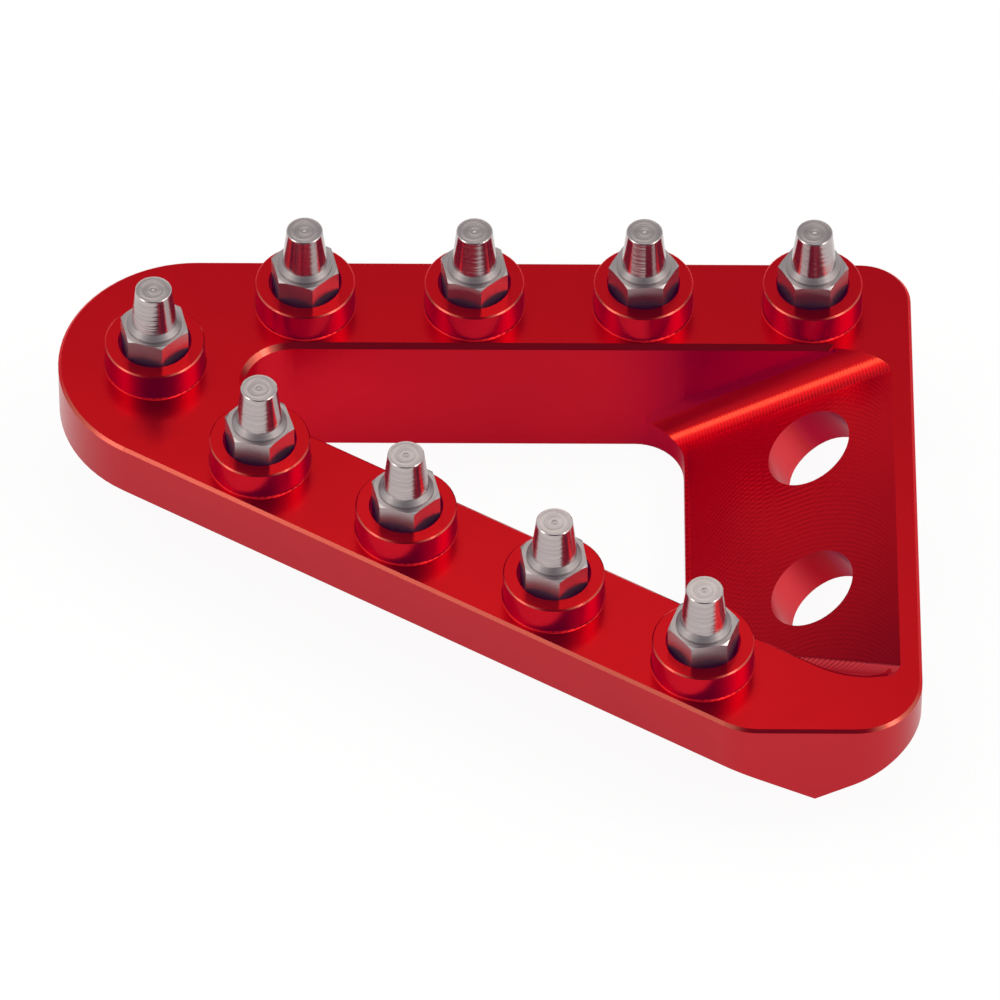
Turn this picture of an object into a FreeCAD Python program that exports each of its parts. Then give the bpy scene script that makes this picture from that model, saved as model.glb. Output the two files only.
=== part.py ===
import FreeCAD, Part
import os
from math import sin, cos, tan, radians, hypot

os.makedirs("parts", exist_ok=True)

# Enlarged brake pedal plate: a triangular ring frame with nine studded collars
# and an inclined web that bolts onto the pedal lever.
# Millimetres. The origin is on the inclined mounting face, midway between its
# two bolt holes. +X runs from the rounded tip to the mounting end, +Y to the
# long straight rail, +Z is the way the studs point.

# plate heights
plateTop = 8.05
plateDepth = 13.2
outerWallHeight = 5.6
topEdgeChamfer = 0.27
innerEdgeChamfer = 0.45

# stud layout, all on the centre lines of the rails
studPitch = 15.25
backRowStart = (-47.5, 21.9)
frontRowStart = (-51.3, 2.8)
frontRowAngle = -31.0
tipStud = (-60.9, 14.6)
railHalfWidth = 5.2

# outline of the plate
tipRadius = 12.35
mountEndX = 7.2
frontWallY = -28.75
backCornerRadius = 4.5
frontCornerRadius = 6.0

# window through the plate
windowEndX = -13.2
windowCornerRadius = 4.4

# inclined web with the two bolt holes
webTilt = 29.5
webThickness = 4.4
webFillet = 3.0
boltHoleRadius = 4.1
boltHoleSpacing = 16.7
boltHoleChamfer = 0.4
chamferEndX = -0.3
chamferTurnX = -2.1
chamferTurnRadius = 8.7
chamferTurnAngle = 47.0
lowerEdgeChamfer = 0.15

# raised collars round the studs
collarRadius = 4.5
collarHeight = 2.9
collarChamfer = 0.12
collarFillet = 0.15
seatRadius = 3.3
seatDepth = 2.0
tappedRadius = 2.0
tappedDepth = 7.0
drillPointAngle = 59.0

# studs
hexAcrossFlats = 5.5
hexHeight = 4.25
hexChamferAngle = 30.0
hexCrownRadius = 2.9
ringRadius = 2.45
ringHeight = 0.25
ringChamfer = 0.08
coneBaseRadius = 2.07
coneTopRadius = 1.63
coneHeight = 4.26
coneTopChamfer = 0.08
pipRadius = 0.22
pipHeight = 0.1
coneFlareHeight = 0.34
shankRadius = 1.95
shankLength = 6.0
shankChamfer = 0.4
studTurns = {
    "stud_tip": 43.5,
    "stud_back_1": 43.0,
    "stud_back_2": 41.5,
    "stud_back_3": 2.5,
    "stud_back_4": 58.5,
    "stud_front_1": 47.0,
    "stud_front_2": 43.0,
    "stud_front_3": 38.5,
    "stud_front_4": 10.0,
}

farAway = 60.0
overlap = 0.5
plateBottom = plateTop - plateDepth
seatLevel = plateTop + collarHeight - seatDepth


def vec(x, y, z=0.0):
    return FreeCAD.Vector(x, y, z)


# Unit vectors along the front rail and square to it, out of the plate.
frontAlong = vec(cos(radians(frontRowAngle)), sin(radians(frontRowAngle)))
frontOut = vec(frontAlong.y, -frontAlong.x)


def studCentres():
    """Plan position of every stud, by name."""
    centres = {"stud_tip": vec(*tipStud)}
    for i in range(4):
        centres["stud_back_%d" % (i + 1)] = vec(backRowStart[0] + i * studPitch, backRowStart[1])
        centres["stud_front_%d" % (i + 1)] = vec(*frontRowStart) + frontAlong * (i * studPitch)
    return centres


def frontRailPoint(offset, x):
    """Point at the given x on the front rail's line, shifted outwards by offset."""
    base = vec(*frontRowStart) + frontOut * offset
    return base + frontAlong * ((x - base.x) / frontAlong.x)


def frontRailPointAtY(offset, y):
    base = vec(*frontRowStart) + frontOut * offset
    return base + frontAlong * ((y - base.y) / frontAlong.y)


def wedgeArcCentre(offset, radius):
    """Centre of a circle that touches both rails' lines from inside the wedge."""
    y = backRowStart[1] + offset - radius
    line = vec(*frontRowStart) + frontOut * (offset - radius)
    return vec(line.x + frontAlong.x * (y - line.y) / frontAlong.y, y)


def wedgeWire(offset, radius, endX, z):
    """Both rail lines joined by a round nose at the tip and a straight far end."""
    c = wedgeArcCentre(offset, radius)
    backTouch = c + vec(0.0, radius)
    frontTouch = c + frontOut * radius
    nose = c + vec(-radius, 0.0)
    backEnd = vec(endX, backTouch.y)
    frontEnd = frontRailPoint(offset, endX)
    lift = vec(0.0, 0.0, z)
    edges = [
        Part.LineSegment(backEnd + lift, backTouch + lift).toShape(),
        Part.Arc(backTouch + lift, nose + lift, frontTouch + lift).toShape(),
        Part.LineSegment(frontTouch + lift, frontEnd + lift).toShape(),
        Part.LineSegment(frontEnd + lift, backEnd + lift).toShape(),
    ]
    return Part.Wire(edges)


def prism(wire, height):
    return Part.Face(wire).extrude(vec(0.0, 0.0, height))


def verticalEdgesAt(shape, points):
    """The upright edges of a prism that stand on the given plan points."""
    found = []
    for edge in shape.Edges:
        a = edge.Vertexes[0].Point
        b = edge.Vertexes[-1].Point
        upright = hypot(a.x - b.x, a.y - b.y) < 1e-6
        if upright and any(hypot(a.x - p.x, a.y - p.y) < 1e-4 for p in points):
            found.append(edge)
    return found


def outlinePrism():
    """Upright plate outline with its round corners and the broken top edge."""
    c = wedgeArcCentre(railHalfWidth, tipRadius)
    backY = backRowStart[1] + railHalfWidth
    frontLeft = frontRailPointAtY(railHalfWidth, frontWallY)
    frontRight = vec(mountEndX, frontWallY)
    backRight = vec(mountEndX, backY)
    lift = vec(0.0, 0.0, plateBottom)
    backTouch = vec(c.x, backY)
    frontTouch = c + frontOut * tipRadius
    nose = c + vec(-tipRadius, 0.0)
    corners = [frontTouch, frontLeft, frontRight, backRight, backTouch]
    edges = [Part.Arc(backTouch + lift, nose + lift, frontTouch + lift).toShape()]
    for a, b in zip(corners, corners[1:]):
        edges.append(Part.LineSegment(a + lift, b + lift).toShape())
    body = prism(Part.Wire(edges), plateDepth)
    body = body.makeFillet(backCornerRadius, verticalEdgesAt(body, [backRight]))
    body = body.makeFillet(frontCornerRadius, verticalEdgesAt(body, [frontLeft, frontRight]))
    rim = [e for e in body.Edges if e.BoundBox.ZMin > plateTop - 1e-6]
    return body.makeChamfer(topEdgeChamfer, rim)


def undercutEnvelope():
    """Wedge with its lower edge bevelled at 45 degrees along both rails and the tip."""
    body = prism(wedgeWire(railHalfWidth, tipRadius, farAway, plateBottom), plateDepth)
    low = []
    for edge in body.Edges:
        box = edge.BoundBox
        if box.ZMax < plateBottom + 1e-6 and box.XMin < farAway - 1.0:
            low.append(edge)
    return body.makeChamfer(plateDepth - outerWallHeight, low)


def aboveIncline(lift):
    """Big block whose underside is the web's incline, raised square to it by lift."""
    reach = 2.0 * farAway
    block = Part.makeBox(2.0 * reach, 2.0 * reach, reach, vec(-reach, -reach, lift))
    block.rotate(vec(0.0, 0.0), vec(0.0, 1.0), -webTilt)
    return block


def heightOverIncline(point):
    """Distance of a point from the mounting face's plane, square to it."""
    tilt = radians(webTilt)
    return point.z * cos(tilt) - point.x * sin(tilt)


def windowCutter():
    """Through window: round at the tip and in both corners beside the web."""
    cutter = prism(wedgeWire(-railHalfWidth, windowCornerRadius, windowEndX, plateBottom), plateDepth)
    backEnd = vec(windowEndX, backRowStart[1] - railHalfWidth)
    frontEnd = frontRailPoint(-railHalfWidth, windowEndX)
    return cutter.makeFillet(windowCornerRadius, verticalEdgesAt(cutter, [backEnd, frontEnd]))


def pocketCutter():
    """Space over the web: the rails' inner lines and an inclined floor that runs out
    at the plate's top, with ball-milled fillets along both walls."""
    outline = wedgeWire(-railHalfWidth, windowCornerRadius, farAway, plateBottom - farAway)
    tall = prism(outline, 3.0 * farAway)
    cutter = tall.common(aboveIncline(webThickness))
    sides = []
    for edge in cutter.Edges:
        middle = edge.valueAt((edge.FirstParameter + edge.LastParameter) / 2.0)
        if abs(heightOverIncline(middle) - webThickness) < 1e-4 and edge.BoundBox.XLength > farAway:
            sides.append(edge)
    cutter = cutter.makeFillet(webFillet, sides)
    beyondWindow = Part.makeBox(farAway, 2.0 * farAway, 2.0 * farAway)
    beyondWindow.translate(vec(windowEndX - 2.0 * windowCornerRadius, -farAway, -farAway))
    return cutter.common(beyondWindow)


def innerChamferWire(offset, radius, endX, turnRadius, z):
    """Edge of the inner bevel: back rail, nose, front rail and an arc leading out."""
    lift = vec(0.0, 0.0, z)
    c = wedgeArcCentre(offset, radius)
    backTouch = c + vec(0.0, radius)
    frontTouch = c + frontOut * radius
    nose = c + vec(-radius, 0.0)
    backEnd = vec(endX, backTouch.y)
    turnStart = frontRailPoint(offset, chamferTurnX)
    turnCentre = turnStart - frontOut * turnRadius

    def onTurn(degrees):
        a = radians(degrees)
        return turnCentre + frontOut * (turnRadius * cos(a)) + frontAlong * (turnRadius * sin(a))

    turnMiddle = onTurn(chamferTurnAngle / 2.0)
    turnEnd = onTurn(chamferTurnAngle)
    edges = [
        Part.LineSegment(backEnd + lift, backTouch + lift).toShape(),
        Part.Arc(backTouch + lift, nose + lift, frontTouch + lift).toShape(),
        Part.LineSegment(frontTouch + lift, turnStart + lift).toShape(),
        Part.Arc(turnStart + lift, turnMiddle + lift, turnEnd + lift).toShape(),
        Part.LineSegment(turnEnd + lift, backEnd + lift).toShape(),
    ]
    return Part.Wire(edges)


def innerChamferCutter():
    """Shallow bevel round the window's and the pocket's upper edge."""
    step = innerEdgeChamfer
    low = innerChamferWire(-railHalfWidth, windowCornerRadius, chamferEndX,
                           chamferTurnRadius - step, plateTop - step)
    high = innerChamferWire(-railHalfWidth + step, windowCornerRadius + step, chamferEndX + step,
                            chamferTurnRadius, plateTop)
    return Part.makeLoft([low, high], True, True)


def boltHoleCutter(y):
    """Bore square to the web, with a small bevel on the mounting face."""
    bore = Part.makeCylinder(boltHoleRadius, 3.0 * webThickness, vec(0.0, y, -webThickness))
    bevel = Part.makeCone(boltHoleRadius + 2.0 * boltHoleChamfer, boltHoleRadius - boltHoleChamfer,
                          3.0 * boltHoleChamfer, vec(0.0, y, -boltHoleChamfer))
    cutter = bore.fuse(bevel)
    cutter.rotate(vec(0.0, 0.0), vec(0.0, 1.0), -webTilt)
    return cutter


def collar(centre):
    """Raised collar with a broken rim and a fine fillet at its foot."""
    rim = plateTop + collarHeight
    buried = vec(0.0, 0.0, plateTop - overlap)
    footOut = vec(collarRadius + collarFillet, 0.0, plateTop)
    footUp = vec(collarRadius, 0.0, plateTop + collarFillet)
    sag = collarFillet * (1.0 - cos(radians(45.0)))
    bend = vec(collarRadius + sag, 0.0, plateTop + sag)
    lower = [buried, vec(footOut.x, 0.0, buried.z), footOut]
    upper = [
        footUp,
        vec(collarRadius, 0.0, rim - collarChamfer),
        vec(collarRadius - collarChamfer, 0.0, rim),
        vec(0.0, 0.0, rim),
        buried,
    ]
    edges = Part.makePolygon(lower).Edges
    edges.append(Part.Arc(footOut, bend, footUp).toShape())
    edges += Part.makePolygon(upper).Edges
    solid = Part.Face(Part.Wire(edges)).revolve(vec(0.0, 0.0), vec(0.0, 0.0, 1.0), 360.0)
    solid.translate(centre)
    return solid


def studHoleCutter(centre):
    """Counterbore for the hexagon and a blind tapped hole with a drill point."""
    seat = Part.makeCylinder(seatRadius, seatDepth + overlap, centre + vec(0.0, 0.0, seatLevel))
    bottom = seatLevel - tappedDepth
    hole = Part.makeCylinder(tappedRadius, tappedDepth + overlap, centre + vec(0.0, 0.0, bottom))
    pointHeight = tappedRadius / tan(radians(drillPointAngle))
    point = Part.makeCone(0.0, tappedRadius, pointHeight, centre + vec(0.0, 0.0, bottom - pointHeight))
    return seat.fuse([hole, point]).removeSplitter()


def breakLowerEdges(body):
    """Small bevel round the mounting face and round the window's lower edge."""
    edges = []
    for face in body.Faces:
        if face.Surface.TypeId != "Part::GeomPlane":
            continue
        box = face.BoundBox
        if box.ZMax < plateBottom + 1e-4:
            for wire in face.Wires:
                if not wire.isSame(face.OuterWire):
                    edges += wire.Edges
        elif all(abs(heightOverIncline(v.Point)) < 1e-4 for v in face.Vertexes):
            edges += [e for e in face.OuterWire.Edges if e.BoundBox.ZMax > plateBottom + 1e-4]
    return body.makeChamfer(lowerEdgeChamfer, edges)


def makePlate():
    body = outlinePrism().common(undercutEnvelope())
    body = body.common(aboveIncline(0.0))
    centres = studCentres()
    body = body.fuse([collar(c) for c in centres.values()])
    body = body.cut(windowCutter())
    body = body.cut(pocketCutter())
    body = body.cut(innerChamferCutter())
    for side in (-1.0, 1.0):
        body = body.cut(boltHoleCutter(side * boltHoleSpacing / 2.0))
    body = body.cut([studHoleCutter(c) for c in centres.values()])
    return breakLowerEdges(body.removeSplitter())


def hexagonHead():
    """Hexagon with its upper corners turned off at a flat angle."""
    corner = hexAcrossFlats / 2.0 / cos(radians(30.0))
    points = [vec(corner * cos(radians(60.0 * i)), corner * sin(radians(60.0 * i))) for i in range(7)]
    head = prism(Part.makePolygon(points), hexHeight)
    outer = corner + overlap
    drop = (outer - hexCrownRadius) * tan(radians(hexChamferAngle))
    crown = Part.makeCone(outer, hexCrownRadius, drop, vec(0.0, 0.0, hexHeight - drop))
    skirt = Part.makeCylinder(outer, hexHeight - drop)
    return head.common(skirt.fuse(crown))


def spike():
    """Turned cone that flares out at its foot to a low ring. The centre of its flat
    top keeps the small point that is left when a turned piece is parted off."""
    sunk = hexHeight - overlap
    ringTop = hexHeight + ringHeight
    top = ringTop + coneHeight
    flareRadius = coneBaseRadius - (coneBaseRadius - coneTopRadius) * coneFlareHeight / coneHeight
    profile = [
        vec(0.0, 0.0, sunk),
        vec(ringRadius, 0.0, sunk),
        vec(ringRadius, 0.0, ringTop - ringChamfer),
        vec(ringRadius - ringChamfer, 0.0, ringTop),
        vec(flareRadius, 0.0, ringTop + coneFlareHeight),
        vec(coneTopRadius, 0.0, top - coneTopChamfer),
        vec(coneTopRadius - coneTopChamfer, 0.0, top),
        vec(pipRadius, 0.0, top),
        vec(0.0, 0.0, top + pipHeight),
    ]
    wire = Part.makePolygon(profile + [profile[0]])
    return Part.Face(wire).revolve(vec(0.0, 0.0), vec(0.0, 0.0, 1.0), 360.0)


def shank():
    """Threaded end, kept to its outside diameter, with a bevelled tip."""
    profile = [
        vec(0.0, 0.0, overlap),
        vec(shankRadius, 0.0, overlap),
        vec(shankRadius, 0.0, shankChamfer - shankLength),
        vec(shankRadius - shankChamfer, 0.0, -shankLength),
        vec(0.0, 0.0, -shankLength),
    ]
    wire = Part.makePolygon(profile + [profile[0]])
    return Part.Face(wire).revolve(vec(0.0, 0.0), vec(0.0, 0.0, 1.0), 360.0)


def makeStud(centre, turn):
    stud = hexagonHead().fuse([spike(), shank()]).removeSplitter()
    stud.rotate(vec(0.0, 0.0), vec(0.0, 0.0, 1.0), turn)
    stud.translate(centre + vec(0.0, 0.0, seatLevel))
    return stud


def solidOf(shape):
    return shape.Solids[0] if len(shape.Solids) == 1 else shape


plate = solidOf(makePlate())
plate.exportStep("parts/pedal_plate.step")
print("pedal_plate", plate.ShapeType, plate.isValid(), round(plate.Volume, 1), plate.BoundBox)
for name, centre in studCentres().items():
    stud = solidOf(makeStud(centre, studTurns[name]))
    stud.exportStep("parts/%s.step" % name)
    print(name, stud.ShapeType, stud.isValid(), round(stud.Volume, 2))
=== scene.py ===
from math import cos, pi, radians, sin

import bmesh
import bpy
from mathutils import Matrix, Vector


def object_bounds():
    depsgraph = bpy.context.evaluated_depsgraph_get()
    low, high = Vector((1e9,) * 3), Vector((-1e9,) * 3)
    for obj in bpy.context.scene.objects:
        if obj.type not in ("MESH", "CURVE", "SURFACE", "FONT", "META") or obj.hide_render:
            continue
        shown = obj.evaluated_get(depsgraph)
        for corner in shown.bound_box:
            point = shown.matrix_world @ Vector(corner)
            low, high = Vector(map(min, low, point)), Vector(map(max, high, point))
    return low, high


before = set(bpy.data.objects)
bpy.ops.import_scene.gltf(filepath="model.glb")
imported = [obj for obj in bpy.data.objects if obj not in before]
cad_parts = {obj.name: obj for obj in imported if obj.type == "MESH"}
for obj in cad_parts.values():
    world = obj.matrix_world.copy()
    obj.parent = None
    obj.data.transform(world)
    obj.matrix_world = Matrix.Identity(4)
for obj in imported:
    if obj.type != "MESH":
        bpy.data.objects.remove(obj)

cadBox = [list(corner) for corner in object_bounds()]
mm = 0.001
white = "#FFFFFF"


def hexColour(code):
    # sRGB hex to linear colour
    values = [int(code[i:i + 2], 16) / 255.0 for i in (1, 3, 5)]
    linear = [v / 12.92 if v <= 0.04045 else ((v + 0.055) / 1.055) ** 2.4 for v in values]
    return (*linear, 1.0)


def addNode(tree, kind, *inputs, **settings):
    # one node; its inputs are numbers, colours, sockets or nodes, in order or in a dictionary
    node = tree.nodes.new("ShaderNode" + kind)
    for key, value in settings.items():
        setattr(node, key, value)
    if inputs and isinstance(inputs[0], dict):
        filled = inputs[0]
    else:
        filled = dict(enumerate(inputs))
    for key, value in filled.items():
        if isinstance(value, bpy.types.Node):
            value = value.outputs[0]
        if isinstance(value, bpy.types.NodeSocket):
            tree.links.new(value, node.inputs[key])
        else:
            node.inputs[key].default_value = value
    return node


def overlap(tree, *masks):
    # where all the masks hold
    product = masks[0]
    for mask in masks[1:]:
        product = addNode(tree, "Math", product, mask, operation="MULTIPLY")
    return product


def within(tree, value, low=None, high=None):
    # 1 where the value lies between its ends, of which one may be left open
    masks = []
    if low is not None:
        masks.append(addNode(tree, "Math", value, low, operation="GREATER_THAN"))
    if high is not None:
        masks.append(addNode(tree, "Math", value, high, operation="LESS_THAN"))
    return overlap(tree, *masks)


def newMaterial(name):
    material = bpy.data.materials.new(name)
    material.use_nodes = True
    material.node_tree.nodes.clear()
    return material, material.node_tree


# where the photograph was taken from; the picture is square
cameraView = {
    "azimuth": -0.2397,      # degrees
    "elevation": 48.3194,
    "roll": 0.4042,
    "lens": 405.589,         # mm
    "sensor": 36.0,          # mm
    "distance": 1.00196,     # metres from the target
    "farthest": 20.0,        # metres that the camera sees
    "target": (-0.0299, -0.0018, 0.00805),
}


def showCamera():
    view = cameraView
    turn = Matrix.Rotation(radians(view["azimuth"]), 3, "Z")
    turn = turn @ Matrix.Rotation(radians(90.0 - view["elevation"]), 3, "X")
    turn = turn @ Matrix.Rotation(radians(view["roll"]), 3, "Z")
    data = bpy.data.cameras.new("photoCamera")
    data.lens = view["lens"]
    data.sensor_width = view["sensor"]
    data.clip_end = view["farthest"]
    camera = bpy.data.objects.new("photoCamera", data)
    aimed = Matrix.Translation(Vector(view["target"])) @ turn.to_4x4()
    camera.matrix_world = aimed @ Matrix.Translation((0.0, 0.0, view["distance"]))
    bpy.context.scene.collection.objects.link(camera)
    bpy.context.scene.camera = camera
    bpy.context.scene.view_settings.view_transform = "Standard"
    print("camera placed")


# white sweep that the part lies on
floorSet = {
    "size": 4.0,             # metres
    "glow": 0.93,            # share of the white that no shadow touches
    "mirroredGlow": 0.26,    # the same share where the part mirrors the floor
    "paint": white,
    "gap": 0.00003,          # metres below the part, so that the two never share a plane
}


def makePaper():
    look = floorSet
    material, tree = newMaterial("white paper sweep")
    paper = addNode(tree, "BsdfDiffuse", {"Color": hexColour(look["paint"])})
    glow = addNode(tree, "Emission", {"Color": hexColour(look["paint"]), "Strength": 1.0})
    path = addNode(tree, "LightPath").outputs
    direct = addNode(tree, "Math", path["Is Camera Ray"], look["glow"], operation="MULTIPLY")
    bounced = addNode(tree, "Math", path["Is Glossy Ray"], path["Is Transmission Ray"], operation="MAXIMUM")
    mirrored = addNode(tree, "Math", bounced, look["mirroredGlow"], operation="MULTIPLY")
    share = addNode(tree, "Math", direct, mirrored, operation="MAXIMUM")
    lit = addNode(tree, "MixShader", share, paper, glow)
    # seen from below the floor is clear, so that the part's underside can be looked at
    below = addNode(tree, "NewGeometry").outputs["Backfacing"]
    clear = addNode(tree, "BsdfTransparent")
    addNode(tree, "OutputMaterial", {"Surface": addNode(tree, "MixShader", below, lit, clear)})
    return material


def showFloor():
    made = bmesh.new()
    bmesh.ops.create_grid(made, x_segments=1, y_segments=1, size=floorSet["size"] / 2.0)
    bmesh.ops.translate(made, verts=made.verts, vec=(0.0, 0.0, cadBox[0][2] - floorSet["gap"]))
    mesh = bpy.data.meshes.new("floor")
    made.to_mesh(mesh)
    made.free()
    floor = bpy.data.objects.new("floor", mesh)
    bpy.context.scene.collection.objects.link(floor)
    mesh.materials.append(makePaper())
    print("floor laid")


# light tent: a bright dome, darker in a few directions, with soft boxes
# level is the share of the dome's light inside a dip's inner angle; beyond its outer angle all of it is left
lightSet = {
    "dome": 1.0,
    "dips": {
        "cameraGap": {"direction": (0.0, -0.665, 0.747), "inner": 16.0, "outer": 34.0, "level": 0.14},
        "leftSide": {"direction": (-0.64, 0.665, 0.384), "inner": 8.0, "outer": 40.0, "level": 0.85},
        "behind": {"direction": (0.0, 0.78, 0.62), "inner": 25.0, "outer": 50.0, "level": 0.5},
    },
    "lampColour": "#FFF9F0",
    # degrees round the target and above it, and metres
    "boxes": {
        "leftBox": {"azimuth": -71.0, "elevation": 37.0, "size": 0.3, "distance": 0.9, "radiance": 2.9},
        "leftFill": {"azimuth": -91.0, "elevation": 38.0, "size": 0.3, "distance": 0.9, "radiance": 1.0},
        "rightBox": {"azimuth": 62.0, "elevation": 33.0, "size": 0.2, "distance": 0.9, "radiance": 5.0},
        "keyBox": {"azimuth": 92.0, "elevation": 44.0, "size": 0.4, "distance": 0.8, "radiance": 2.6},
        "backBox": {"azimuth": 180.0, "elevation": 69.0, "size": 0.32, "distance": 0.42, "radiance": 1.05,
                    "shift": -0.1},
    },
}


def showTent():
    world = bpy.data.worlds.new("lightTent")
    world.use_nodes = True
    tree = world.node_tree
    tree.nodes.clear()
    direction = addNode(tree, "TexCoord").outputs["Generated"]
    level = lightSet["dome"]
    for dip in lightSet["dips"].values():
        towards = addNode(tree, "VectorMath", direction, dip["direction"], operation="DOT_PRODUCT")
        ramp = addNode(tree, "MapRange", towards.outputs["Value"], cos(radians(dip["outer"])),
                       cos(radians(dip["inner"])), 1.0, dip["level"], interpolation_type="SMOOTHSTEP")
        level = overlap(tree, level, ramp)
    tent = addNode(tree, "Background", {"Color": hexColour(white), "Strength": level})
    plain = addNode(tree, "Background", {"Color": hexColour(white), "Strength": 1.0})
    # the camera sees plain white round the part
    path = addNode(tree, "LightPath").outputs
    mixed = addNode(tree, "MixShader", path["Is Camera Ray"], tent, plain)
    addNode(tree, "OutputWorld", {"Surface": mixed})
    bpy.context.scene.world = world


def showLamps():
    for name, box in lightSet["boxes"].items():
        azimuth = radians(box["azimuth"])
        elevation = radians(box["elevation"])
        away = Vector((sin(azimuth) * cos(elevation), -cos(azimuth) * cos(elevation), sin(elevation)))
        data = bpy.data.lights.new(name, "AREA")
        data.shape = "SQUARE"
        data.color = hexColour(lightSet["lampColour"])[:3]
        data.size = box["size"]
        # watts that give the wanted radiance over the box's face
        data.energy = box["radiance"] * pi * box["size"] ** 2
        lamp = bpy.data.objects.new(name, data)
        place = Vector(cameraView["target"]) + away * box["distance"]
        place.x += box.get("shift", 0.0)
        lamp.matrix_world = Matrix.Translation(place) @ away.to_track_quat("Z", "Y").to_matrix().to_4x4()
        bpy.context.scene.collection.objects.link(lamp)
    print("lights set")


# sizes of the plate that its finish follows, in mm and degrees
plateForm = {
    "top": 8.05,             # height of the top face
    "webTilt": 29.5,
    "webThickness": 4.4,
    "webStartX": -13.2,
    "filletRadius": 3.0,     # beside the web's floor
    "chamferDrop": 0.45,     # height of the window's broken edge
    "backBevelEndX": 0.3,    # where that edge ends on the back rail
    "frontBevelEndX": 4.2,   # and on the front rail
    "middle": (-25.0, 3.0),  # a point in the window, to tell inner walls from outer ones
    "boltSpacing": 16.7,
    "boltRadius": 4.1,
}

# red anodised aluminium, milled and lightly blasted: a coloured metal under a thin clear oxide
anodised = {
    # painted shade: the top face and the collars are dyed a little darker than the faces below
    "topRed": "#BA120E",
    "belowTopRed": "#BE1210",    # the red below the top face
    "paintedWallRed": "#C71922",    # painted light: the window's walls away from the web are dyed lighter
    "paintedGlintRed": "#C42A10",  # painted highlight: the web's fillet along the back rail is dyed orange where it shines
    "paintedSideRed": "#B22528",    # painted light: the outer sides are dyed a little paler
    # painted light: the bolt holes are dyed lighter on their uphill side and darker on the rest
    "boreLitRed": "#D23A3E",    # the bolt holes run from this to the next, as in the photograph
    "boreShadedRed": "#AC1016",
    "paintedFootGlint": "#E04448",    # painted highlight: the web's fillet along the front rail is dyed pink where it shines
    "paintedEdgeGlint": "#B04C3C",    # painted highlight: the broken edges towards the front are dyed paler
    "edgeTint": "#FFB8B8",   # keeps the red full at slanting views of the flat faces
    "roughness": 0.26,
    "filletRoughness": 0.2,
    "wallFootRoughness": 0.42,
    "combRoughness": 0.3,
    "footRoughness": 0.2,    # added on the fillet along the front rail
    "boreRoughness": 0.27,
    "coat": 0.03,
    "coatRoughness": 0.12,
    "edgeCoat": 0.25,        # the broken edges are glossier than the faces
    "filletCoat": 0.2,
    "paintedWallGlow": "#2A0022",   # painted glow: a little violet light given off by the walls beside the web, standing in for the violet cast of their shade
    "paintedLevelGlow": "#200012",  # the same on all other faces
    "collarGlowShare": 0.6,       # how much of the walls' painted glow the collars' sides have
    "grain": 0.12,           # mm, spacing of the blasted texture
    "grainHeight": 0.0007,   # mm
    "scallopPitch": 0.33,    # mm along the web's fillets
    "scallopHeight": 0.009,  # mm
    "scallopSlant": 1.0,     # along the front rail, mm along for every mm across
    "scallopSparse": 0.42,   # along the front rail, the share of the scallops that is left
    "scallopShade": 0.1,     # painted shade: how much darker the dishes are than the crests
    "combShade": 0.5,        # the same close to the web's floor
    "scallopMiddle": 0.11,   # depth at which a scallop's shade is neither lighter nor darker
    "wallLight": 0.08,       # light painted on: how much lighter the window's walls are at the tip
    "wallDrop": 0.25,        # and how much of their brightness they lose towards the web
    "landPaintedShade": 0.4,        # painted shade: the land below the front broken edge is darker
    "toothPitch": 0.55,      # mm between the face mill's arcs, coarser than the real ones so that they show
    "toothHeight": 0.011,    # mm
    # painted sheen: how much the face mill's arcs lighten and darken the colour
    "toothShade": 0.11,
    "frontArcs": 0.55,       # strength of the arcs that the mill's front cuts
    "backArcs": 0.45,        # and of those that its back cuts
    "floorDrift": (-0.017, 0.022),    # light painted on the web's floor, per mm along x and y
    "cutterRadius": 10.8,    # mm
    "cutterMiddle": -1.5,    # mm along the web from its bolt holes
    "cloudScale": 0.16,      # per mm, how the dye took unevenly
    "cloudShade": (1.04, 0.94),       # lightest and darkest
    "patchScale": 0.3,       # per mm, where the tooth marks show more or less
    "patchSpan": (0.3, 0.65),         # noise values at which they are gone and at full strength
}

# where the plate's finishes begin and end, in mm
# facing, upward, aside and uphill are cosines, 1 where the surface faces that way
plateZones = {
    "floorReach": 0.03,          # from the web's floor, up or down
    "floorFacing": 0.99,
    "filletFacing": (0.02, 0.995),
    "filletStart": 3.5,          # before the web's start
    "filletFoot": 0.002,         # above the web's floor
    "belowBevel": 0.02,          # room left below the broken edge and below the top face
    "belowTop": 0.01,
    "landReach": 0.02,           # from the foot of the broken edge, up or down
    "landUpward": 0.98,
    "dullFacing": (0.8, 0.55),   # the fillets are duller towards the wall
    "ribFacing": (0.55, 0.75),   # and their scallops weaker
    "smoothX": (0.0, 4.0),       # the fillet along the front rail has none near the mounting end
    "combFacing": (0.84, 0.9),   # where they are strongest, close to the web's floor
    "glintFacing": (0.76, 0.83), # the bright streak along the back rail's fillet
    "glintEnd": (0.86, 0.92),
    "frontFootFacing": (0.5, 0.65),
    "boreReach": 0.1,            # beyond the bolt holes' radius
    "boreFacing": 0.5,
    "boreUphill": (0.1, 0.8),
    "topReach": 0.3,             # below the top face
    "topUpward": 0.93,
    "collarStart": 0.02,         # above the top face
    "edgeReach": 0.6,            # below the top face
    "edgeUpward": (0.6, 0.82),
    "edgeAside": (0.1, 0.3),
    "collarFoot": 0.5,           # above the top face, the middle of the fillets round the collars
    "collarFootReach": 0.49,
    "wallStart": 0.2,            # below the top face
    "sideUpward": (0.5, 0.1),
    "wallUpward": 0.3,
    "webWall": (-9.0, -2.0),     # from the web's start
    "wallFade": (-50.0, -28.0),
    "wallFadeEnd": (1.0, 9.0),   # from the web's start
}

# for a mask that rises with soft ends
smoothly = {"interpolation_type": "SMOOTHSTEP"}


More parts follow.
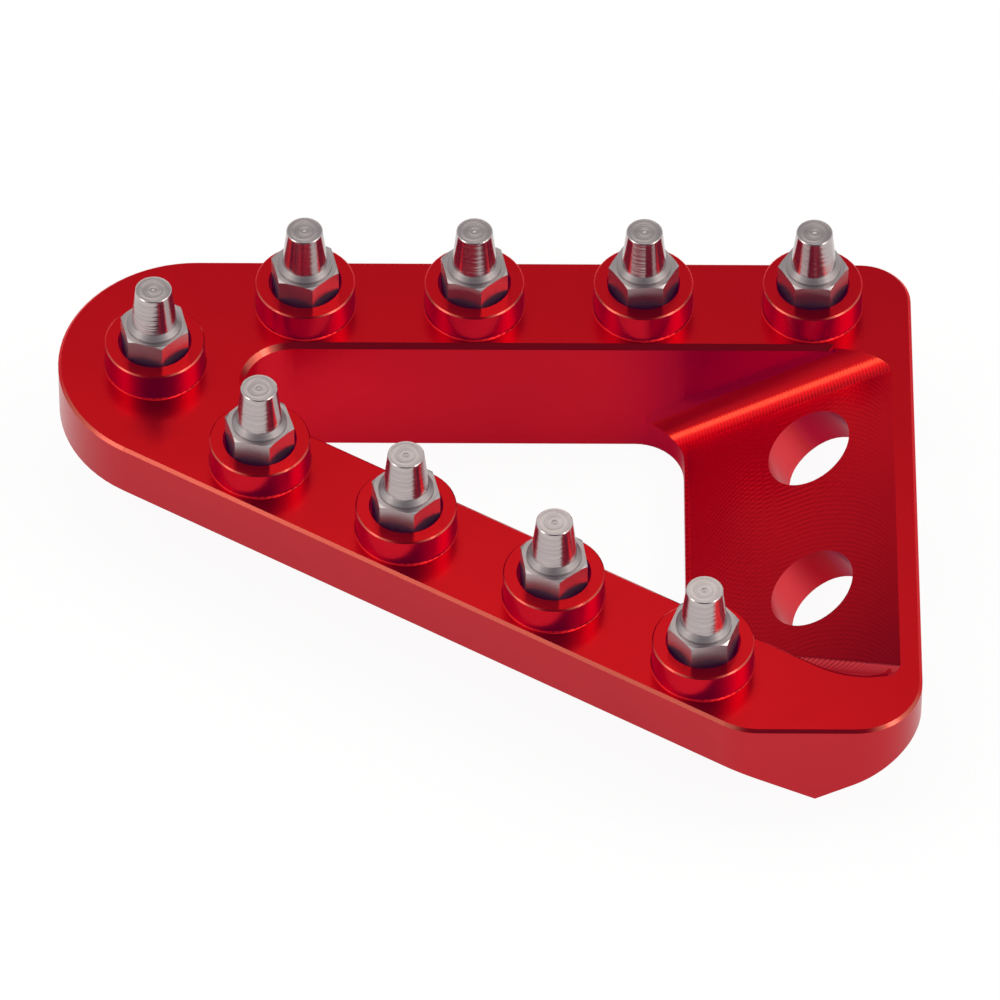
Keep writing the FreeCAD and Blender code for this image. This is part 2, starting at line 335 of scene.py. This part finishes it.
def readPlate(tree):
    # what the finish is worked out from: places in mm, and the surface's directions as cosines
    tilt = radians(plateForm["webTilt"])
    floorNormal = (-sin(tilt), 0.0, cos(tilt))
    floorAlong = (cos(tilt), 0.0, sin(tilt))
    coords = addNode(tree, "TexCoord").outputs["Object"]
    place = addNode(tree, "VectorMath", {0: coords, "Scale": 1.0 / mm}, operation="SCALE")
    spot = addNode(tree, "SeparateXYZ", place).outputs
    normal = addNode(tree, "NewGeometry").outputs["Normal"]
    aim = addNode(tree, "SeparateXYZ", normal).outputs
    fromMiddle = addNode(tree, "VectorMath", place, (*plateForm["middle"], 0.0), operation="SUBTRACT")
    at = {"place": place, "x": spot["X"], "y": spot["Y"], "height": spot["Z"], "upward": aim["Z"],
          "aside": addNode(tree, "Math", aim["X"], operation="ABSOLUTE"),
          "frontward": addNode(tree, "Math", 0.0, aim["Y"], operation="SUBTRACT")}
    # lift and along are places on the web, facing and uphill are directions on it
    for name, first, second in (("lift", place, floorNormal), ("along", place, floorAlong),
                                ("facing", normal, floorNormal), ("uphill", normal, floorAlong),
                                ("outward", fromMiddle, normal)):
        dot = addNode(tree, "VectorMath", first, second, operation="DOT_PRODUCT")
        at[name] = dot.outputs["Value"]
    return at


def findFillets(tree, at):
    # masks of the web's floor, of the fillets beside it and of their stretches
    form = plateForm
    ends = plateZones
    onFloor = addNode(tree, "Math", at["lift"], form["webThickness"], ends["floorReach"], operation="COMPARE")
    onFloor = overlap(tree, onFloor, within(tree, at["facing"], low=ends["floorFacing"]))
    atFront = within(tree, at["y"], high=0.0)
    atBack = addNode(tree, "Math", 1.0, atFront, operation="SUBTRACT")
    nearFloor = within(tree, at["lift"], form["webThickness"] + ends["filletFoot"],
                       form["webThickness"] + form["filletRadius"])
    # a fillet stops at the broken edge, or at the top face where that edge has ended
    bevelEnd = addNode(tree, "Mix", {0: atFront, 2: form["backBevelEndX"], 3: form["frontBevelEndX"]})
    pastBevel = addNode(tree, "Math", at["x"], bevelEnd, operation="GREATER_THAN")
    belowBevel = within(tree, at["height"], high=form["top"] - form["chamferDrop"] - ends["belowBevel"])
    belowTop = within(tree, at["height"], high=form["top"] - ends["belowTop"])
    inFillet = overlap(tree, within(tree, at["facing"], *ends["filletFacing"]),
                       within(tree, at["x"], low=form["webStartX"] - ends["filletStart"]), nearFloor,
                       addNode(tree, "Math", belowBevel, pastBevel, operation="MAXIMUM"), belowTop,
                       within(tree, at["outward"], high=0.0))
    smooth = overlap(tree, atFront, addNode(tree, "MapRange", at["x"], *ends["smoothX"], **smoothly))
    ribbed = overlap(tree, inFillet, addNode(tree, "MapRange", at["facing"], *ends["ribFacing"]),
                     addNode(tree, "Math", 1.0, smooth, operation="SUBTRACT"))
    comb = overlap(tree, ribbed, addNode(tree, "MapRange", at["facing"], *ends["combFacing"], **smoothly))
    glintEnd = addNode(tree, "MapRange", at["facing"], *ends["glintEnd"], **smoothly)
    glint = overlap(tree, inFillet, atBack,
                    addNode(tree, "MapRange", at["facing"], *ends["glintFacing"], **smoothly),
                    addNode(tree, "Math", 1.0, glintEnd, operation="SUBTRACT"))
    frontFoot = overlap(tree, inFillet, atFront)
    footFace = overlap(tree, frontFoot,
                       addNode(tree, "MapRange", at["facing"], *ends["frontFootFacing"], **smoothly))
    return {"onFloor": onFloor, "atFront": atFront, "inFillet": inFillet, "ribbed": ribbed, "comb": comb,
            "glint": glint, "frontFoot": frontFoot, "footFace": footFace}


def findBores(tree, at):
    # masks of the two bolt holes and of their side that is painted lighter
    form = plateForm
    ends = plateZones
    boltY = addNode(tree, "Math", at["y"], operation="ABSOLUTE")
    boltY = addNode(tree, "Math", boltY, form["boltSpacing"] / 2.0, operation="SUBTRACT")
    fromAxis = addNode(tree, "CombineXYZ", at["along"], boltY)
    fromAxis = addNode(tree, "VectorMath", fromAxis, operation="LENGTH").outputs["Value"]
    leaning = addNode(tree, "Math", at["facing"], operation="ABSOLUTE")
    inBore = overlap(tree, within(tree, fromAxis, high=form["boltRadius"] + ends["boreReach"]),
                     within(tree, leaning, high=ends["boreFacing"]))
    boreLight = overlap(tree, inBore,
                        addNode(tree, "MapRange", at["uphill"], *ends["boreUphill"], **smoothly))
    return {"inBore": inBore, "boreLight": boreLight}


def findFaces(tree, at, inFillet):
    # masks of the top, the broken edges, the outer sides and the window's walls
    form = plateForm
    ends = plateZones
    levelTop = overlap(tree, within(tree, at["height"], low=form["top"] - ends["topReach"]),
                       within(tree, at["upward"], low=ends["topUpward"]))
    collars = within(tree, at["height"], low=form["top"] + ends["collarStart"])
    onTop = addNode(tree, "Math", levelTop, collars, operation="MAXIMUM")
    land = addNode(tree, "Math", at["height"], form["top"] - form["chamferDrop"], ends["landReach"],
                   operation="COMPARE")
    land = overlap(tree, land, within(tree, at["upward"], low=ends["landUpward"]))
    brokenEdge = overlap(tree, within(tree, at["upward"], *ends["edgeUpward"]),
                         within(tree, at["height"], low=form["top"] - ends["edgeReach"]),
                         addNode(tree, "Math", 1.0, inFillet, operation="SUBTRACT"))
    # painted highlight: the broken edges that face the front and one side are dyed paler, but not the fillets
    # round the collars
    collarFoot = addNode(tree, "Math", at["height"], form["top"] + ends["collarFoot"],
                         ends["collarFootReach"], operation="COMPARE")
    paintedPaleEdge = overlap(tree, addNode(tree, "MapRange", at["aside"], *ends["edgeAside"], **smoothly),
                       addNode(tree, "MapRange", at["frontward"], *ends["edgeAside"], **smoothly),
                       addNode(tree, "Math", 1.0, collarFoot, operation="SUBTRACT"), brokenEdge)
    belowTop = within(tree, at["height"], high=form["top"] - ends["wallStart"])
    onSide = overlap(tree, addNode(tree, "MapRange", at["upward"], *ends["sideUpward"]),
                     within(tree, at["outward"], low=0.0), belowTop)
    innerWall = overlap(tree, belowTop, within(tree, at["outward"], high=0.0),
                        within(tree, at["upward"], high=ends["wallUpward"]))
    webStart = form["webStartX"]
    nearWeb = addNode(tree, "MapRange", at["x"], *(webStart + end for end in ends["webWall"]), **smoothly)
    farWall = overlap(tree, innerWall, addNode(tree, "Math", 1.0, nearWeb, operation="SUBTRACT"))
    fadeEnd = addNode(tree, "MapRange", at["x"], *(webStart + end for end in ends["wallFadeEnd"]), **smoothly)
    fadingWall = overlap(tree, innerWall, addNode(tree, "Math", 1.0, fadeEnd, operation="SUBTRACT"))
    return {"onTop": onTop, "land": land, "brokenEdge": brokenEdge, "paintedPaleEdge": paintedPaleEdge, "onSide": onSide,
            "webWall": overlap(tree, innerWall, nearWeb), "farWall": farWall, "fadingWall": fadingWall}


def cutScallops(tree, at, zone):
    # the ball mill's scallops: shallow dishes with sharp crests between them
    # along the front rail they are slanted and wider apart
    look = anodised
    slant = addNode(tree, "Math", at["y"], look["scallopSlant"], operation="MULTIPLY")
    slant = addNode(tree, "Math", slant, zone["atFront"], operation="MULTIPLY")
    left = addNode(tree, "Math", zone["atFront"], 1.0 - look["scallopSparse"], operation="MULTIPLY")
    left = addNode(tree, "Math", 1.0, left, operation="SUBTRACT")
    steps = addNode(tree, "Math", at["along"], slant, operation="SUBTRACT")
    steps = addNode(tree, "Math", steps, look["scallopPitch"], operation="DIVIDE")
    phase = addNode(tree, "Math", overlap(tree, steps, left), operation="FRACT")
    fromMiddle = addNode(tree, "Math", phase, 0.5, operation="SUBTRACT")
    fromMiddle = addNode(tree, "Math", fromMiddle, operation="ABSOLUTE")
    # 0 in a dish's middle and a quarter on its crests
    return addNode(tree, "Math", fromMiddle, 2.0, operation="POWER")


def cutTeeth(tree, at):
    # the face mill's tooth marks: wide arcs of its front edge, crossed by those of its back edge
    look = anodised
    across = addNode(tree, "Math", at["along"], look["cutterMiddle"], operation="SUBTRACT")
    squared = addNode(tree, "Math", across, across, operation="MULTIPLY")
    drop = addNode(tree, "Math", look["cutterRadius"] ** 2, squared, operation="SUBTRACT")
    drop = addNode(tree, "Math", drop, 0.0, operation="MAXIMUM")
    bow = addNode(tree, "Math", drop, operation="SQRT")
    waves = []
    for operation, strength in (("SUBTRACT", look["frontArcs"]), ("ADD", look["backArcs"])):
        arc = addNode(tree, "Math", at["y"], bow, operation=operation)
        arc = addNode(tree, "Math", arc, 2.0 * pi / look["toothPitch"], operation="MULTIPLY")
        wave = addNode(tree, "Math", arc, operation="SINE")
        waves.append(addNode(tree, "Math", wave, strength, operation="MULTIPLY"))
    return addNode(tree, "Math", *waves, operation="ADD")


def raiseMarks(tree, at, zone, dish, wave):
    # tool marks and a fine grain, as one bump in metres
    # a dish rises by a quarter and the teeth's wave by two, which the factors bring to their heights
    look = anodised
    scallops = overlap(tree, dish, 4.0 * look["scallopHeight"] * mm, zone["ribbed"])
    teeth = overlap(tree, wave, 0.5 * look["toothHeight"] * mm, zone["onFloor"])
    grain = addNode(tree, "TexNoise", {"Vector": at["place"], "Scale": 1.0 / look["grain"], "Detail": 2.0})
    grain = overlap(tree, grain, look["grainHeight"] * mm)
    marks = addNode(tree, "Math", scallops, teeth, operation="ADD")
    relief = addNode(tree, "Math", marks, grain, operation="ADD")
    return addNode(tree, "Bump", {"Strength": 1.0, "Distance": 1.0, "Height": relief})


def mixDye(tree, zone):
    # the red of each zone
    look = anodised
    dye = addNode(tree, "Mix", {0: zone["onTop"], 6: hexColour(look["belowTopRed"]),
                                7: hexColour(look["topRed"])}, data_type="RGBA")
    for mask, colour in (("glint", "paintedGlintRed"), ("paintedPaleEdge", "paintedEdgeGlint"), ("footFace", "paintedFootGlint"),
                         ("onSide", "paintedSideRed"), ("farWall", "paintedWallRed"), ("inBore", "boreShadedRed"),
                         ("boreLight", "boreLitRed")):
        dye = addNode(tree, "Mix", {0: zone[mask], 6: dye.outputs[2], 7: hexColour(look[colour])},
                      data_type="RGBA")
    return dye.outputs[2]


def shadeDye(tree, at, zone, dish, wave):
    # how light the dye is: cloudy all over, with painted shade in the scallops' dishes, painted sheen along
    # the face mill's arcs, painted shade on the land, and painted light drifting along the wall and the floor
    look = anodised
    cloud = addNode(tree, "TexNoise", {"Vector": at["place"], "Scale": look["cloudScale"], "Detail": 2.0})
    shade = addNode(tree, "MapRange", {"Value": cloud, "To Min": look["cloudShade"][0],
                                       "To Max": look["cloudShade"][1]})
    depth = addNode(tree, "Math", look["scallopMiddle"], dish, operation="SUBTRACT")
    strength = addNode(tree, "Math", overlap(tree, zone["ribbed"], 4.0 * look["scallopShade"]),
                       overlap(tree, zone["comb"], 4.0 * look["combShade"]), operation="ADD")
    shade = addNode(tree, "Math", shade, overlap(tree, depth, strength), operation="SUBTRACT")
    drift = addNode(tree, "Math", overlap(tree, at["x"], look["floorDrift"][0]),
                    overlap(tree, at["y"], look["floorDrift"][1]), operation="ADD")
    patches = addNode(tree, "TexNoise", {"Vector": at["place"], "Scale": look["patchScale"], "Detail": 1.0})
    patches = addNode(tree, "MapRange", patches, *look["patchSpan"], **smoothly)
    teeth = overlap(tree, wave, look["toothShade"], patches)
    floorShade = addNode(tree, "Math", teeth, drift, operation="ADD")
    shade = addNode(tree, "Math", shade, overlap(tree, floorShade, zone["onFloor"]), operation="ADD")
    shade = addNode(tree, "Math", shade, overlap(tree, zone["land"], look["landPaintedShade"]), operation="SUBTRACT")
    # painted shade: the window's walls darken from the tip towards the web
    fade = addNode(tree, "MapRange", at["x"], *plateZones["wallFade"], **smoothly)
    wallShade = addNode(tree, "Math", look["wallLight"], overlap(tree, fade, look["wallDrop"]),
                        operation="SUBTRACT")
    return addNode(tree, "Math", shade, overlap(tree, wallShade, zone["fadingWall"]), operation="ADD")


def mixRoughness(tree, at, zone):
    # the fillets are the glossiest by the web's floor, and the bolt holes have their own roughness
    look = anodised
    fillet = addNode(tree, "MapRange", at["facing"], *plateZones["dullFacing"], look["filletRoughness"],
                     look["wallFootRoughness"])
    added = {"comb": look["combRoughness"] - look["filletRoughness"], "frontFoot": look["footRoughness"]}
    for mask, more in added.items():
        fillet = addNode(tree, "Math", fillet, overlap(tree, zone[mask], more), operation="ADD")
    rough = addNode(tree, "Mix", {0: zone["inFillet"], 2: look["roughness"], 3: fillet})
    return addNode(tree, "Mix", {0: zone["inBore"], 2: rough, 3: look["boreRoughness"]})


def mixPaintedGlow(tree, at, zone):
    # painted glow: the violet light that the plate gives off, stronger beside the web and on the collars'
    # sides
    look = anodised
    onCollar = overlap(tree, within(tree, at["height"], low=plateForm["top"]), look["collarGlowShare"],
                       within(tree, at["upward"], high=plateZones["wallUpward"]))
    upright = addNode(tree, "Math", zone["webWall"], onCollar, operation="MAXIMUM")
    cast = addNode(tree, "Mix", {0: upright, 6: hexColour(look["paintedLevelGlow"]),
                                 7: hexColour(look["paintedWallGlow"])}, data_type="RGBA")
    return cast.outputs[2]


def makeAnodised():
    look = anodised
    material, tree = newMaterial("red anodised aluminium, milled")
    at = readPlate(tree)
    zone = findFillets(tree, at)
    zone.update(findBores(tree, at))
    zone.update(findFaces(tree, at, zone["inFillet"]))
    dish = cutScallops(tree, at, zone)
    wave = cutTeeth(tree, at)
    dye = addNode(tree, "VectorMath", {0: mixDye(tree, zone), "Scale": shadeDye(tree, at, zone, dish, wave)},
                  operation="SCALE")
    untinted = addNode(tree, "Math", zone["onSide"], zone["inBore"], operation="MAXIMUM")
    tint = addNode(tree, "Mix", {0: untinted, 6: hexColour(look["edgeTint"]), 7: hexColour(white)},
                   data_type="RGBA")
    coat = addNode(tree, "Mix", {0: zone["brokenEdge"], 2: look["coat"], 3: look["edgeCoat"]})
    coat = addNode(tree, "Mix", {0: zone["glint"], 2: coat, 3: look["filletCoat"]})
    shader = addNode(tree, "BsdfPrincipled", {
        "Metallic": 1.0,
        "Base Color": dye,
        "Specular Tint": tint.outputs[2],
        "Roughness": mixRoughness(tree, at, zone),
        "Coat Weight": coat,
        "Coat Roughness": look["coatRoughness"],
        "Normal": raiseMarks(tree, at, zone, dish, wave),
        "Emission Color": mixPaintedGlow(tree, at, zone),
        "Emission Strength": 1.0,
    })
    addNode(tree, "OutputMaterial", {"Surface": shader})
    return material


# where the studs stand, in mm and degrees; each row is given by its stud nearest the tip
studRows = {
    "tip": (-60.9, 14.6),
    "back": (-47.5, 21.9),
    "front": (-51.3, 2.8),
    "frontAngle": -31.0,
    "pitch": 15.25,
    "perRow": 4,
}


def studCentres():
    # plan position of every stud, in mm
    rows = studRows
    angle = radians(rows["frontAngle"])
    centres = {"stud_tip": rows["tip"]}
    for i in range(rows["perRow"]):
        step = i * rows["pitch"]
        centres[f"stud_back_{i + 1}"] = (rows["back"][0] + step, rows["back"][1])
        centres[f"stud_front_{i + 1}"] = (rows["front"][0] + step * cos(angle),
                                          rows["front"][1] + step * sin(angle))
    return centres


# stainless steel turned from hexagon bar: a warm grey metal with fine tool rings
turned = {
    "steel": "#AFA7A6",
    "patchDepth": 0.9,       # the darkest patches' share of the steel's tone
    "patchScale": 0.9,       # per mm
    "metallic": 0.98,        # the fine tool marks scatter the rest
    "roughness": 0.17,
    "headRoughness": 0.28,   # the hexagon is duller than the cone
    "ringRoughness": 0.42,   # and the ring at the cone's foot the dullest
    "ringPaintedTone": 0.72,        # painted shade: that ring is darker than the rest
    "headTop": 13.22,        # mm
    "ringTop": 13.8,         # mm
    "anisotropy": 0.6,       # tool rings spread a reflection along the cone
    "quarterTurn": 0.25,     # across the tangent, which runs round the stud
    "ringPitch": 0.3,        # mm, coarser than the real marks so that they show
    "ringLength": 3.0,       # mm, along which a ring keeps its strength
    "ringHeight": 0.02,      # mm
    # painted sheen: how much the tool rings lighten and darken the steel
    "ringShade": 0.3,
    "flatShare": 0.7,        # how much of the rings shows on the level faces
    "flatUpward": (0.85, 0.97),
    "cutUpward": 0.04,       # upright faces are the bar's own and have no rings
    "paintedCastGlow": "#100016",   # painted glow: a little violet light given off, standing in for the red part's cast in the darks
}


def makeTurned(name, centre):
    look = turned
    material, tree = newMaterial(name)
    coords = addNode(tree, "TexCoord").outputs["Object"]
    place = addNode(tree, "Mapping", {"Vector": coords, "Location": (-centre[0], -centre[1], 0.0),
                                      "Scale": (1.0 / mm, 1.0 / mm, 1.0 / mm)})
    spot = addNode(tree, "SeparateXYZ", place).outputs
    flat = addNode(tree, "CombineXYZ", spot["X"], spot["Y"])
    radius = addNode(tree, "VectorMath", flat, operation="LENGTH").outputs["Value"]
    # a length that runs down the turned profile, so that each ring has one value
    profile = addNode(tree, "Math", spot["Z"], radius, operation="SUBTRACT")
    steps = []
    for length, step in ((profile, look["ringPitch"]), (spot["X"], look["ringLength"]),
                         (spot["Y"], look["ringLength"])):
        steps.append(addNode(tree, "Math", length, step, operation="DIVIDE"))
    ringPlace = addNode(tree, "CombineXYZ", *steps)
    rings = addNode(tree, "TexNoise", {"Vector": ringPlace, "Scale": 1.0, "Detail": 2.0, "Roughness": 0.55})
    normal = addNode(tree, "NewGeometry").outputs["Normal"]
    upward = addNode(tree, "SeparateXYZ", normal).outputs["Z"]
    level = addNode(tree, "MapRange", upward, *look["flatUpward"], 1.0, look["flatShare"])
    cut = overlap(tree, within(tree, upward, low=look["cutUpward"]), level)
    relief = overlap(tree, rings, look["ringHeight"] * mm, cut)
    bump = addNode(tree, "Bump", {"Strength": 1.0, "Distance": 1.0, "Height": relief})

    patch = addNode(tree, "TexNoise", {"Vector": place, "Scale": look["patchScale"], "Detail": 3.0})
    steel = hexColour(look["steel"])
    darker = (*(channel * look["patchDepth"] for channel in steel[:3]), 1.0)
    tone = addNode(tree, "Mix", {0: patch, 6: steel, 7: darker}, data_type="RGBA")
    # painted sheen: the tool rings lighten and darken the steel
    shade = addNode(tree, "Math", rings, 0.5, operation="SUBTRACT")
    shade = overlap(tree, shade, 2.0 * look["ringShade"], cut)
    shade = addNode(tree, "Math", shade, 1.0, operation="ADD")
    # painted shade: the ring at the cone's foot is darkened
    onRing = within(tree, spot["Z"], look["headTop"], look["ringTop"])
    paintedRingShade = overlap(tree, onRing, 1.0 - look["ringPaintedTone"])
    shade = overlap(tree, shade, addNode(tree, "Math", 1.0, paintedRingShade, operation="SUBTRACT"))
    tone = addNode(tree, "VectorMath", {0: tone.outputs[2], "Scale": shade}, operation="SCALE")

    onCone = within(tree, spot["Z"], low=look["ringTop"])
    rough = addNode(tree, "Mix", {0: onCone, 2: look["headRoughness"], 3: look["roughness"]})
    rough = addNode(tree, "Mix", {0: onRing, 2: rough, 3: look["ringRoughness"]})
    tangent = addNode(tree, "Tangent", direction_type="RADIAL", axis="Z")
    shader = addNode(tree, "BsdfPrincipled", {
        "Metallic": look["metallic"],
        "Base Color": tone,
        "Roughness": rough,
        "Anisotropic": look["anisotropy"],
        "Anisotropic Rotation": look["quarterTurn"],
        "Tangent": tangent,
        "Normal": bump,
        "Emission Color": hexColour(look["paintedCastGlow"]),
        "Emission Strength": 1.0,
    })
    addNode(tree, "OutputMaterial", {"Surface": shader})
    return material


def dressNode(name, material):
    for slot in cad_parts[name].material_slots:
        slot.material = material


showCamera()
showFloor()
showTent()
showLamps()
dressNode("pedal_plate", makeAnodised())
for studName, centre in studCentres().items():
    dressNode(studName, makeTurned("turned stainless steel, " + studName, centre))
print("finishes set")
